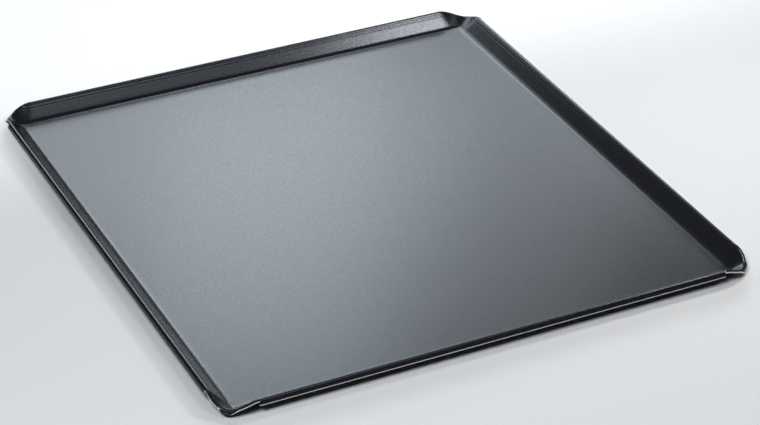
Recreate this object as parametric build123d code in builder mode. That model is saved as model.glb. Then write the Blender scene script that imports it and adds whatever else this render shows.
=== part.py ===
from build123d import *
from math import asin, atan2, cos, hypot, pi, radians, sin, tan
import os

os.makedirs("parts", exist_ok=True)

# A cookie sheet, pressed from one blank of sheet steel that was coated on both faces beforehand.
# The floor is flat, four walls lean outwards, and the rim is folded down along each side. The fold
# stops short of the corners, where the rim dips and ends in a soft edge that is turned down.
# Each layer of the blank is one solid: the steel, and the non-stick coat on either face of it.
# Z is up, Y is the long way, and the origin is the middle of the underside, on the table.

# Overall sizes, over the folded rims, in millimetres
outer_length = 400.5
outer_width = 368.5
rim_height = 10.8

# The blank's layers
steel_thickness = 0.7
upper_coat_thickness = 0.05
lower_coat_thickness = 0.05
sheet_thickness = upper_coat_thickness + steel_thickness + lower_coat_thickness

# The wall, in degrees from level, and its two bends, each radius on the side that the bend closes round
wall_angle = 45.0
floor_bend_radius = 6.0
rim_bend_radius = 1.0

# The fold along the sides: its angle below level, its straight length after the bend, and how far
# its ends stand back from the sheet's outline
fold_angle = 63.0
fold_length = 2.5
fold_end_inset = 25.5

# The corners: their rim turns about a point inside both floor lines, and dips on the way round.
# Its edge starts to turn down at a share of the way from the end of the fold to the diagonal.
corner_centre_inset = 7.1
corner_rim_height = 5.9
corner_edge_start_angle = 18.0
corner_edge_end_angle = 78.0
corner_edge_start_length = 1.3
corner_edge_end_length = 1.8
corner_edge_turn_share = 0.6
corner_spans = 5

# Shares of the flat stretch between a corner's centre and the first bend: where the bent wall's
# solid begins, and where the floor's plate ends inside it
wall_start_share = 0.5
floor_end_share = 0.75

# The section along the sides, measured out from the line where the wall's plane meets the floor's
crest_radius = rim_bend_radius + sheet_thickness
crest_rise = rim_height - crest_radius - sheet_thickness
crest_reach = crest_rise / tan(radians(wall_angle)) + crest_radius / sin(radians(wall_angle))
fold_reach = crest_radius * sin(radians(fold_angle)) + fold_length * cos(radians(fold_angle))
wall_reach = crest_reach + fold_reach
floor_bend_reach = floor_bend_radius * tan(radians(wall_angle) / 2)

# The corner's centre, and what is measured out from it
centre_x = outer_width / 2 - wall_reach - corner_centre_inset
centre_y = outer_length / 2 - wall_reach - corner_centre_inset
crest_turn_radius = corner_centre_inset + crest_reach
wall_start = (corner_centre_inset - floor_bend_reach) * wall_start_share
floor_end = (corner_centre_inset - floor_bend_reach) * floor_end_share

# The way along the crest from the end of a fold to the corner's diagonal: straight, then an arc
straight_run = fold_end_inset - wall_reach - corner_centre_inset
turn_run = crest_turn_radius * pi / 4


def face_line(floor_line, height, edge_angle, edge_length, depth):
    """Corner points and bend radii of a section's line, at a depth below the sheet's upper face.

    floor_line is where the wall's line meets the floor's, and height is the crest's above the table.
    """
    rise = height - crest_radius - sheet_thickness
    run = crest_turn_radius - floor_line
    wall = atan2(rise, run) + asin(crest_radius / hypot(rise, run))
    edge = radians(edge_angle)
    floor_normal = Vector(0, 1)
    wall_normal = Vector(-sin(wall), cos(wall))
    edge_normal = Vector(sin(edge), cos(edge))
    floor_mitre = (floor_normal + wall_normal) / (1 + floor_normal.dot(wall_normal))
    crest_mitre = (wall_normal + edge_normal) / (1 + wall_normal.dot(edge_normal))
    crest_centre = Vector(crest_turn_radius, height - crest_radius)
    edge_run = Vector(cos(edge), -sin(edge)) * edge_length
    points = [
        Vector(wall_start, sheet_thickness - depth),
        Vector(floor_line, sheet_thickness) - floor_mitre * depth,
        crest_centre + crest_mitre * (crest_radius - depth),
        crest_centre + edge_normal * (crest_radius - depth) + edge_run,
    ]
    return points, [floor_bend_radius + depth, crest_radius - depth]


def wall_section(plane, floor_line, height, edge_angle, edge_length, depths):
    """One layer's closed section on an upright plane, between its upper and its lower face."""
    upper_points, upper_radii = face_line(floor_line, height, edge_angle, edge_length, depths[0])
    lower_points, lower_radii = face_line(floor_line, height, edge_angle, edge_length, depths[1])
    with BuildSketch(plane) as section:
        with BuildLine():
            upper = FilletPolyline(*upper_points, radius=upper_radii)
            lower = FilletPolyline(*lower_points, radius=lower_radii)
            Line(upper @ 0, lower @ 0)
            Line(upper @ 1, lower @ 1)
        make_face()
    return section.sketch


def corner_section(share, depths):
    """A layer's section at a share of the way from the end of a fold to the corner's diagonal.

    The rim's dip and the turn of its edge each follow half a cosine wave, so they start and end
    smoothly.
    """
    run = (straight_run + turn_run) * share
    turn = max(run - straight_run, 0) / crest_turn_radius
    dip = (1 - cos(pi * share)) / 2
    height = rim_height + (corner_rim_height - rim_height) * dip
    edge_share = max(share - corner_edge_turn_share, 0) / (1 - corner_edge_turn_share)
    fall = (1 - cos(pi * edge_share)) / 2
    edge_angle = corner_edge_start_angle + (corner_edge_end_angle - corner_edge_start_angle) * fall
    edge_length = corner_edge_start_length + (corner_edge_end_length - corner_edge_start_length) * fall
    plane = Plane(
        origin=(centre_x, centre_y - max(straight_run - run, 0), 0),
        x_dir=(cos(turn), sin(turn), 0),
        z_dir=(sin(turn), -cos(turn), 0),
    )
    return wall_section(plane, corner_centre_inset / cos(turn), height, edge_angle, edge_length, depths)


# The planes where the folded rims end beside a corner, and the corner's plane of symmetry
long_side_plane = Plane(
    origin=(centre_x, centre_y - straight_run, 0), x_dir=(1, 0, 0), z_dir=(0, -1, 0)
)
short_side_plane = Plane(
    origin=(centre_x - straight_run, centre_y, 0), x_dir=(0, 1, 0), z_dir=(1, 0, 0)
)
diagonal_plane = Plane(origin=(centre_x, centre_y, 0), x_dir=(1, 1, 0), z_dir=(-1, 1, 0))

# Each layer's upper and lower face, as depths below the sheet's upper face
layers = {
    "upper_nonstick_coat": (0, upper_coat_thickness),
    "steel_sheet": (upper_coat_thickness, upper_coat_thickness + steel_thickness),
    "lower_nonstick_coat": (upper_coat_thickness + steel_thickness, sheet_thickness),
}

for node, depths in layers.items():
    with BuildPart() as layer:
        # A corner: lofted from the end of one fold to the diagonal, then mirrored to the other fold
        sections = [corner_section(step / corner_spans, depths) for step in range(corner_spans + 1)]
        loft(sections, ruled=True)
        mirror(about=diagonal_plane)

        # Half of a long side and half of a short side, with the folded rim
        fold = (corner_centre_inset, rim_height, fold_angle, fold_length, depths)
        extrude(wall_section(long_side_plane, *fold), amount=centre_y - straight_run, dir=(0, -1, 0))
        extrude(wall_section(short_side_plane, *fold), amount=centre_x - straight_run, dir=(-1, 0, 0))

        # A quarter of the flat floor, its outer corner rounded about the corner's centre
        with BuildSketch(Plane.XY.offset(sheet_thickness - depths[1])) as floor:
            Rectangle(centre_x + floor_end, centre_y + floor_end, align=(Align.MIN, Align.MIN))
            fillet(floor.vertices().sort_by_distance((outer_width, outer_length, 0))[0], radius=floor_end)
        extrude(amount=depths[1] - depths[0])

        # The whole sheet, from its quarter
        mirror(about=Plane.YZ)
        mirror(about=Plane.XZ)
    layer.part.label = node
    export_step(layer.part, f"parts/{node}.step")
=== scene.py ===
import bpy
from math import asin, atan2, cos, hypot, pi, radians, sin, tan
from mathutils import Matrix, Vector


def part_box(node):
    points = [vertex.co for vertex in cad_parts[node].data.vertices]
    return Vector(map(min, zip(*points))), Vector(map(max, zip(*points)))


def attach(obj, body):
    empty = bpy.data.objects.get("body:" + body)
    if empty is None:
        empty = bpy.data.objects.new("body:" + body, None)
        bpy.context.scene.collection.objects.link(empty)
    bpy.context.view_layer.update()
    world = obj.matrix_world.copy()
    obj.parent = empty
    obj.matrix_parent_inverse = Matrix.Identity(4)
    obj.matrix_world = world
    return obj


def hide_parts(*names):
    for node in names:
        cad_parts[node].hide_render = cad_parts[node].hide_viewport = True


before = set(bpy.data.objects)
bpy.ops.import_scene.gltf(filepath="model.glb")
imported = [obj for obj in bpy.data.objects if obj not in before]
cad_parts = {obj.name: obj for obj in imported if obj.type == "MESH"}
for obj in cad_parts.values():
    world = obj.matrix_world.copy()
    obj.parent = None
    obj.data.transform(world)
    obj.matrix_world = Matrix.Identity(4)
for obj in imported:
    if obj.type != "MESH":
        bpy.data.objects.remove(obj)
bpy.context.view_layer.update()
scene = bpy.context.scene
scene.view_settings.view_transform = "Standard"
bpy.ops.object.select_all(action="DESELECT")


# The blank: one sheet of steel, coated on both faces, that a press forms in one stroke. Its upper
# face is modelled first, section by section, and each layer below is made from a copy of it. The
# floor is flat, the walls lean out at 45 degrees, and the rim is folded down along each side.
sheet_low, sheet_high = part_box("upper_nonstick_coat")
table_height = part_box("lower_nonstick_coat")[0].z
rim_height = sheet_high.z
half_width = sheet_high.x
half_length = sheet_high.y

upper_coat_thickness = 0.00005
steel_thickness = 0.0007
lower_coat_thickness = 0.00005
sheet_thickness = upper_coat_thickness + steel_thickness + lower_coat_thickness

wall_angle = radians(45)
floor_bend_radius = 0.006
crest_radius = 0.001 + sheet_thickness
fold_angle = radians(63)
fold_length = 0.0025
fold_end_inset = 0.0255

# The corners turn about a point inside both floor lines, and their rim dips on the way round
corner_centre_inset = 0.0071
corner_rim_height = 0.0059
corner_edge_angles = (radians(18), radians(78))
corner_edge_lengths = (0.0013, 0.0018)
corner_edge_turn_share = 0.6

# The floor's flat face begins this far out from a corner's centre. The bends are drawn in steps, and
# shading stays smooth across edges up to an angle.
floor_start = 0.0022
floor_bend_steps = 10
crest_steps = 14
fold_steps = 8
smooth_angle = radians(30)

# The blank is sheared at a slant, so its outer face ends this much before its inner face does. The
# slant is less at the corners, from their ends to their middle.
cut_slant = 0.0006
corner_cut_slants = (0.0003, 0.00005)

crest_rise = rim_height - crest_radius - sheet_thickness
crest_reach = crest_rise / tan(wall_angle) + crest_radius / sin(wall_angle)
wall_reach = crest_reach + crest_radius * sin(fold_angle) + fold_length * cos(fold_angle)
centre_x = half_width - wall_reach - corner_centre_inset
centre_y = half_length - wall_reach - corner_centre_inset
crest_turn_radius = corner_centre_inset + crest_reach
straight_run = fold_end_inset - wall_reach - corner_centre_inset
turn_run = crest_turn_radius * pi / 4


def section_line(floor_line, height, edge_angle, edge_length, slant, fold=None):
    """The upper face's section as distances out and up: floor, bend, wall, crest and free edge.

    slant is the length of the cut's slant. A fold is a second angle and length, which carry the
    crest's bend on to the folded rim.
    """
    rise = height - crest_radius - sheet_thickness
    run = crest_turn_radius - floor_line
    wall = atan2(rise, run) + asin(crest_radius / hypot(rise, run))
    bend = floor_bend_radius * tan(wall / 2)
    line = [Vector((floor_start, sheet_thickness))]
    for step in range(floor_bend_steps + 1):
        turn = wall * step / floor_bend_steps
        out = floor_line - bend + floor_bend_radius * sin(turn)
        line.append(Vector((out, sheet_thickness + floor_bend_radius * (1 - cos(turn)))))
    crest = Vector((crest_turn_radius, height - crest_radius))
    wall_foot = line[-1]
    wall_top = crest + crest_radius * Vector((-sin(wall), cos(wall)))
    line += [wall_foot.lerp(wall_top, share) for share in (0.25, 0.5, 0.75)]
    for step in range(crest_steps + 1):
        turn = -wall + (wall + edge_angle) * step / crest_steps
        line.append(crest + crest_radius * Vector((sin(turn), cos(turn))))
    if fold:
        for step in range(1, fold_steps + 1):
            turn = edge_angle + (fold[0] - edge_angle) * step / fold_steps
            line.append(crest + crest_radius * Vector((sin(turn), cos(turn))))
        edge_angle, edge_length = fold
    edge_start = line[-1]
    edge_end = edge_start + edge_length * Vector((cos(edge_angle), -sin(edge_angle)))
    coated = 1 - slant / edge_length
    line += [edge_start.lerp(edge_end, share) for share in (coated / 2, coated, 1)]
    return line


def draw_section(line, origin, outward):
    """Draws a section in edit mode, as a chain of edges from the floor to the sheet's free edge."""
    points = [origin + outward * out + Vector((0, 0, up)) for out, up in line]
    bpy.ops.mesh.primitive_plane_add(size=floor_start, location=points[0])
    bpy.ops.mesh.merge(type="CENTER")
    for start, end in zip(points, points[1:]):
        bpy.ops.mesh.extrude_vertices_move(TRANSFORM_OT_translate={"value": end - start})
    bpy.ops.object.vertex_group_assign()


def bridged_sheet(name, sections):
    """A strip of sheet through a row of sections."""
    bpy.ops.mesh.primitive_plane_add(location=(0, 0, 0))
    strip = bpy.context.object
    strip.name = name
    strip.vertex_groups.new(name="free_edge")
    bpy.ops.object.mode_set(mode="EDIT")
    bpy.ops.mesh.delete(type="VERT")
    for section in sections:
        draw_section(*section)
    bpy.ops.mesh.select_all(action="SELECT")
    bpy.ops.mesh.bridge_edge_loops()
    bpy.ops.object.mode_set(mode="OBJECT")
    return strip


# A quarter of the sheet: half a long side and half a short side with the folded rim
side_line = section_line(
    corner_centre_inset, rim_height, corner_edge_angles[0], corner_edge_lengths[0],
    cut_slant, fold=(fold_angle, fold_length),
)
east = Vector((1, 0, 0))
north = Vector((0, 1, 0))
side_stations = (0, 0.25, 0.5, 0.75, 0.92, 1)
long_side = bridged_sheet("long_side", [
    (side_line, Vector((centre_x, (centre_y - straight_run) * share, 0)), east)
    for share in side_stations
])
short_side = bridged_sheet("short_side", [
    (side_line, Vector(((centre_x - straight_run) * share, centre_y, 0)), north)
    for share in side_stations
])

# The corner between them: straight for a short way from each fold's end, and a quarter turn between
corner_steps = 14
corner_sections = []
for step in range(-corner_steps, corner_steps + 1):
    share = 1 - abs(step) / corner_steps
    run = (straight_run + turn_run) * share
    turn = max(run - straight_run, 0) / crest_turn_radius
    lag = max(straight_run - run, 0)
    dip = (1 - cos(pi * share)) / 2
    fall = (1 - cos(pi * max(share - corner_edge_turn_share, 0) / (1 - corner_edge_turn_share))) / 2
    line = section_line(
        corner_centre_inset / cos(turn),
        rim_height + (corner_rim_height - rim_height) * dip,
        corner_edge_angles[0] + (corner_edge_angles[1] - corner_edge_angles[0]) * fall,
        corner_edge_lengths[0] + (corner_edge_lengths[1] - corner_edge_lengths[0]) * fall,
        corner_cut_slants[0] + (corner_cut_slants[1] - corner_cut_slants[0]) * fall,
    )
    if step < 0:
        place = (Vector((centre_x, centre_y - lag, 0)), Vector((cos(turn), sin(turn), 0)))
    else:
        place = (Vector((centre_x - lag, centre_y, 0)), Vector((sin(turn), cos(turn), 0)))
    corner_sections.append((line, *place))
corner = bridged_sheet("corner", corner_sections)

# The four quarters are joined, and the floor closes the ring that they leave
for strip in (long_side, short_side, corner):
    strip.select_set(True)
bpy.context.view_layer.objects.active = corner
bpy.ops.object.join()
upper_face = bpy.context.object
upper_face.name = "upper_face"
merge_distance = 0.000002
floor_edge_margin = 0.00002
mirror = upper_face.modifiers.new("four_quarters", "MIRROR")
mirror.use_axis = (True, True, False)
mirror.merge_threshold = merge_distance / 2
bpy.ops.object.modifier_apply(modifier=mirror.name)
bpy.ops.object.mode_set(mode="EDIT")
bpy.ops.mesh.select_all(action="SELECT")
bpy.ops.mesh.remove_doubles(threshold=merge_distance)
bpy.ops.mesh.select_all(action="DESELECT")
bpy.ops.object.mode_set(mode="OBJECT")
for vertex in upper_face.data.vertices:
    out_x = abs(vertex.co.x) - centre_x
    out_y = abs(vertex.co.y) - centre_y
    reach = hypot(max(out_x, 0), max(out_y, 0)) if min(out_x, out_y) > 0 else max(out_x, out_y)
    vertex.select = reach < floor_start + floor_edge_margin
bpy.ops.object.mode_set(mode="EDIT")
bpy.ops.mesh.edge_face_add()
bpy.ops.mesh.inset(thickness=floor_start)
bpy.ops.mesh.select_all(action="SELECT")
bpy.ops.mesh.normals_make_consistent(inside=False)
bpy.ops.object.mode_set(mode="OBJECT")
if max(upper_face.data.polygons, key=lambda face: face.area).normal.z < 0:
    upper_face.data.flip_normals()


# The upper non-stick coat: a dark slate film with a fine metallic fleck, rolled on to the blank
# before it is pressed. It runs over the rim and down the fold to the cut edge, and it is slightly
# grainy, so that bright things show in it as soft, speckled patches.
def sheet_layer(name, depth, thickness, coat):
    """A layer of the sheet, from a copy of its upper face, moved down and given its thickness.

    A coat ends where the slanted cut begins, so it loses its free edge.
    """
    bpy.ops.object.select_all(action="DESELECT")
    upper_face.select_set(True)
    bpy.context.view_layer.objects.active = upper_face
    bpy.ops.object.duplicate()
    layer = bpy.context.object
    layer.name = name
    layer.data.name = name
    if depth:
        bpy.ops.object.mode_set(mode="EDIT")
        bpy.ops.mesh.select_all(action="SELECT")
        bpy.ops.transform.shrink_fatten(value=-depth, use_even_offset=True)
        bpy.ops.object.mode_set(mode="OBJECT")
    if coat:
        bpy.ops.object.mode_set(mode="EDIT")
        bpy.ops.mesh.select_all(action="DESELECT")
        bpy.ops.object.vertex_group_select()
        bpy.ops.mesh.delete(type="VERT")
        bpy.ops.object.mode_set(mode="OBJECT")
    solidify = layer.modifiers.new("thickness", "SOLIDIFY")
    solidify.thickness = thickness
    solidify.offset = -1
    solidify.use_even_offset = True
    bpy.ops.object.modifier_apply(modifier=solidify.name)
    bpy.ops.object.shade_smooth_by_angle(angle=smooth_angle)
    return layer


# The fleck's pattern stays between these two levels, and the light fleck is the glossier
fleck_scale = 750
fleck_low = 0.3
fleck_high = 0.7
dull = 0.28
glossy = 0.22

grain = bpy.data.node_groups.new("coat_grain", "ShaderNodeTree")
grain.interface.new_socket("Vector", in_out="INPUT", socket_type="NodeSocketVector")
for socket, value in (("Dark", (0.03, 0.032, 0.037, 1)), ("Light", (0.06, 0.063, 0.07, 1))):
    new = grain.interface.new_socket(socket, in_out="INPUT", socket_type="NodeSocketColor")
    new.default_value = value
grain.interface.new_socket("Colour", in_out="OUTPUT", socket_type="NodeSocketColor")
for socket in ("Roughness", "Height"):
    grain.interface.new_socket(socket, in_out="OUTPUT", socket_type="NodeSocketFloat")
inlet = grain.nodes.new("NodeGroupInput")
outlet = grain.nodes.new("NodeGroupOutput")
fleck = grain.nodes.new("ShaderNodeTexNoise")
fleck.inputs["Scale"].default_value = fleck_scale
fleck.inputs["Detail"].default_value = 3
fleck.inputs["Roughness"].default_value = 0.6
tone = grain.nodes.new("ShaderNodeMapRange")
tone.inputs["From Min"].default_value = fleck_low
tone.inputs["From Max"].default_value = fleck_high
mix = grain.nodes.new("ShaderNodeMix")
mix.data_type = "RGBA"
gloss = grain.nodes.new("ShaderNodeMapRange")
gloss.inputs["From Min"].default_value = fleck_low
gloss.inputs["From Max"].default_value = fleck_high
gloss.inputs["To Min"].default_value = dull
gloss.inputs["To Max"].default_value = glossy
grain.links.new(inlet.outputs["Vector"], fleck.inputs["Vector"])
grain.links.new(fleck.outputs["Fac"], tone.inputs["Value"])
grain.links.new(fleck.outputs["Fac"], gloss.inputs["Value"])
grain.links.new(tone.outputs["Result"], mix.inputs["Factor"])
grain.links.new(inlet.outputs["Dark"], mix.inputs["A"])
grain.links.new(inlet.outputs["Light"], mix.inputs["B"])
grain.links.new(mix.outputs["Result"], outlet.inputs["Colour"])
grain.links.new(gloss.outputs["Result"], outlet.inputs["Roughness"])
grain.links.new(fleck.outputs["Fac"], outlet.inputs["Height"])


def coat_material(name, dark, light):
    """A non-stick coat, whose fleck is the same and whose two tones are its own."""
    material = bpy.data.materials.new(name)
    material.use_nodes = True
    nodes, links = material.node_tree.nodes, material.node_tree.links
    shader = nodes["Principled BSDF"]
    place = nodes.new("ShaderNodeTexCoord")
    flecks = nodes.new("ShaderNodeGroup")
    flecks.node_tree = grain
    flecks.inputs["Dark"].default_value = dark
    flecks.inputs["Light"].default_value = light
    bump = nodes.new("ShaderNodeBump")
    bump.name = "fleck_bump"
    bump.inputs["Strength"].default_value = 0.3
    bump.inputs["Distance"].default_value = 0.00006
    links.new(place.outputs["Object"], flecks.inputs["Vector"])
    links.new(flecks.outputs["Colour"], shader.inputs["Base Color"])
    links.new(flecks.outputs["Roughness"], shader.inputs["Roughness"])
    links.new(flecks.outputs["Height"], bump.inputs["Height"])
    links.new(bump.outputs["Normal"], shader.inputs["Normal"])
    shader.inputs["Specular Tint"].default_value = (0.8, 0.9, 1, 1)
    return material


upper_coat = sheet_layer("upper_nonstick_film", 0, upper_coat_thickness, coat=True)
upper_coat.vertex_groups.clear()
slate = coat_material("slate_upper_coat", (0.008, 0.008, 0.011, 1), (0.014, 0.014, 0.019, 1))
upper_coat.data.materials.append(slate)

# The press leaves faint lines along the top of the walls, level with the table
press_line_start = 0.0074
press_line_pitch = 0.0015
press_line_depth = 0.00003
press_line_fade = 0.0006
nodes, links = slate.node_tree.nodes, slate.node_tree.links
place = nodes.new("ShaderNodeTexCoord")
axes = nodes.new("ShaderNodeSeparateXYZ")
waves = nodes.new("ShaderNodeMath")
waves.operation = "MULTIPLY"
waves.inputs[1].default_value = 2 * pi / press_line_pitch
ripple = nodes.new("ShaderNodeMath")
ripple.operation = "SINE"
upper_part = nodes.new("ShaderNodeMapRange")
upper_part.inputs["From Min"].default_value = press_line_start
upper_part.inputs["From Max"].default_value = press_line_start + press_line_fade
lines = nodes.new("ShaderNodeMath")
lines.operation = "MULTIPLY"
line_bump = nodes.new("ShaderNodeBump")
line_bump.inputs["Strength"].default_value = 1
line_bump.inputs["Distance"].default_value = press_line_depth
links.new(place.outputs["Object"], axes.inputs["Vector"])
links.new(axes.outputs["Z"], waves.inputs[0])
links.new(waves.outputs["Value"], ripple.inputs[0])
links.new(axes.outputs["Z"], upper_part.inputs["Value"])
links.new(ripple.outputs["Value"], lines.inputs[0])
links.new(upper_part.outputs["Result"], lines.inputs[1])
links.new(lines.outputs["Value"], line_bump.inputs["Height"])
links.new(line_bump.outputs["Normal"], nodes["fleck_bump"].inputs["Normal"])
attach(upper_coat, "root")
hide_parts("upper_nonstick_coat")


# The lower non-stick coat: the film on the underside, a little darker than the upper one. It lies
# on the table under the floor, lines the inside of the fold, and shows under the near rim.
lower_coat_depth = upper_coat_thickness + steel_thickness
lower_coat = sheet_layer("lower_nonstick_film", lower_coat_depth, lower_coat_thickness, coat=True)
lower_coat.vertex_groups.clear()
lower_coat.data.materials.append(
    coat_material("slate_lower_coat", (0.007, 0.007, 0.01, 1), (0.012, 0.012, 0.016, 1))
)
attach(lower_coat, "root")
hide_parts("lower_nonstick_coat")


# The steel sheet: cold-rolled strip, which shows only where the blank was sheared, along the free
# edge of each fold, at the folds' ends and round the corners. The cut is bare, bright and faintly
# ridged from one face to the other.
cut_depth_share = 0.9
ridge_scale = 1400
steel = sheet_layer("pressed_steel", upper_coat_thickness, steel_thickness, coat=False)

# The cut: on the free edge, the outer face's points are moved down to just above the inner face's
inner_face = len(steel.data.vertices) // 2
for vertex in steel.data.vertices[:inner_face]:
    partner = steel.data.vertices[vertex.index + inner_face]
    if vertex.groups:
        outer, inner = (vertex, partner) if vertex.co.z > partner.co.z else (partner, vertex)
        outer.co = outer.co.lerp(inner.co, cut_depth_share)
bpy.ops.object.shade_smooth_by_angle(angle=smooth_angle)
steel.vertex_groups.clear()

bare_steel = bpy.data.materials.new("sheared_steel")
bare_steel.use_nodes = True
nodes, links = bare_steel.node_tree.nodes, bare_steel.node_tree.links
shader = nodes["Principled BSDF"]
shader.inputs["Metallic"].default_value = 1
place = nodes.new("ShaderNodeTexCoord")
ridges = nodes.new("ShaderNodeTexNoise")
ridges.inputs["Scale"].default_value = ridge_scale
ridges.inputs["Detail"].default_value = 2
tone = nodes.new("ShaderNodeMix")
tone.data_type = "RGBA"
tone.inputs["A"].default_value = (0.6, 0.575, 0.565, 1)
tone.inputs["B"].default_value = (0.82, 0.79, 0.78, 1)
polish = nodes.new("ShaderNodeMapRange")
polish.inputs["To Min"].default_value = 0.52
polish.inputs["To Max"].default_value = 0.4
links.new(place.outputs["Object"], ridges.inputs["Vector"])
links.new(ridges.outputs["Fac"], tone.inputs["Factor"])
links.new(ridges.outputs["Fac"], polish.inputs["Value"])
links.new(tone.outputs["Result"], shader.inputs["Base Color"])
links.new(polish.outputs["Result"], shader.inputs["Roughness"])
steel.data.materials.append(bare_steel)
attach(steel, "root")
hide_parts("steel_sheet")

bpy.data.objects.remove(upper_face)


# The table and the light: a plain pale table top with painted light glowing towards its back, a row
# of soft panels behind it that the floor of the sheet mirrors, a small lamp above its right side
# that lights the far wall, and two large lamps under the ceiling in front. Between them it is dark,
# so that the walls stay dark.
table_half = 6
table_gap = 0.00002
bpy.ops.mesh.primitive_plane_add(size=2 * table_half, location=(0, 0, table_height - table_gap))
table = bpy.context.object
table.name = "table"
table.data.transform(table.matrix_world)
table.matrix_world.identity()
paint = bpy.data.materials.new("pale_table")
paint.use_nodes = True
nodes, links = paint.node_tree.nodes, paint.node_tree.links
shader = nodes["Principled BSDF"]
shader.inputs["Base Color"].default_value = (0.8, 0.82, 0.83, 1)
shader.inputs["Roughness"].default_value = 0.8

# Painted light: towards the back the table glows up to white, for the camera and in reflections
# only. The glow stands in for light falling on the far table, and is no lamp.
painted_light_start = 0.05
painted_light_end = 0.26
painted_light_strength = 0.36
place = nodes.new("ShaderNodeTexCoord")
axes = nodes.new("ShaderNodeSeparateXYZ")
painted_light_ramp = nodes.new("ShaderNodeMapRange")
painted_light_ramp.interpolation_type = "SMOOTHSTEP"
painted_light_ramp.inputs["From Min"].default_value = painted_light_start
painted_light_ramp.inputs["From Max"].default_value = painted_light_end
painted_light_ramp.inputs["To Max"].default_value = painted_light_strength
ray = nodes.new("ShaderNodeLightPath")
seen = nodes.new("ShaderNodeMath")
seen.operation = "MAXIMUM"
painted_glow = nodes.new("ShaderNodeMath")
painted_glow.operation = "MULTIPLY"
links.new(place.outputs["Object"], axes.inputs["Vector"])
links.new(axes.outputs["Y"], painted_light_ramp.inputs["Value"])
links.new(ray.outputs["Is Camera Ray"], seen.inputs[0])
links.new(ray.outputs["Is Glossy Ray"], seen.inputs[1])
links.new(painted_light_ramp.outputs["Result"], painted_glow.inputs[0])
links.new(seen.outputs["Value"], painted_glow.inputs[1])
links.new(painted_glow.outputs["Value"], shader.inputs["Emission Strength"])
table.data.materials.append(paint)


def soft_lamp(name, place, target, width, height, brightness, tint, shape="RECTANGLE"):
    """A soft lamp that faces a target, with a brightness for its face, where 1 is paper white."""
    data = bpy.data.lights.new(name, "AREA")
    data.shape = shape
    data.size = width
    data.size_y = height
    data.energy = brightness * pi * width * height * (pi / 4 if shape == "ELLIPSE" else 1)
    data.color = tint
    lamp = bpy.data.objects.new(name, data)
    scene.collection.objects.link(lamp)
    lamp.location = place
    lamp.rotation_euler = (Vector(target) - Vector(place)).to_track_quat("-Z", "Y").to_euler()


back_tint = (0.9, 0.965, 1)
soft_lamp("back_core", (0.26, 0.89, 0.58), (0.26, 0, 0.58), 0.6, 0.4, 1.65, back_tint, "ELLIPSE")
soft_lamp("back_low", (0, 0.9, 0.42), (0, 0, 0.42), 0.4, 0.4, 2.9, back_tint)
soft_lamp("back_left", (0.3, 0.9, 0.5), (0.3, 0, 0.5), 0.3, 0.3, 4.3, back_tint)
soft_lamp("back_left_high", (0.3, 0.9, 0.8), (0.3, 0, 0.8), 0.3, 0.3, 3.9, back_tint)
soft_lamp("back_middle", (0.6, 0.9, 0.5), (0.6, 0, 0.5), 0.3, 0.3, 3.1, back_tint)
soft_lamp("back_middle_high", (0.6, 0.9, 0.8), (0.6, 0, 0.8), 0.3, 0.3, 1.83, back_tint)
soft_lamp("back_right", (0.9, 0.9, 0.5), (0.9, 0, 0.5), 0.3, 0.3, 4.43, back_tint)

soft_lamp("small_lamp", (0.395, -0.075, 0.478), (0.15, 0.192, 0), 0.13, 0.13, 23.9, (1, 0.95, 0.93))

ceiling_tint = (0.97, 0.98, 1)
soft_lamp("ceiling_left", (-0.9, -0.9, 1.4), (-0.9, -0.9, 0), 0.6, 0.6, 22, ceiling_tint)
soft_lamp("ceiling_front", (0.3, -0.9, 1.4), (0.3, -0.9, 0), 0.6, 0.6, 3.12, ceiling_tint)

world = bpy.data.worlds.new("room")
world.use_nodes = True
scene.world = world
sky = world.node_tree.nodes["Background"]
sky.inputs["Color"].default_value = (0.9, 0.95, 1, 1)
sky.inputs["Strength"].default_value = 0.01

# The camera, fitted to the sheet's outline in the photo
camera_data = bpy.data.cameras.new("camera")
camera_data.lens = 123.694
camera_data.sensor_width = 36
camera_data.clip_end = 50
camera = bpy.data.objects.new("camera", camera_data)
scene.collection.objects.link(camera)
camera.location = (-0.63593, -1.34043, 0.89135)
camera.rotation_euler = (radians(58.640), radians(-0.078), radians(-25.867))
scene.camera = camera
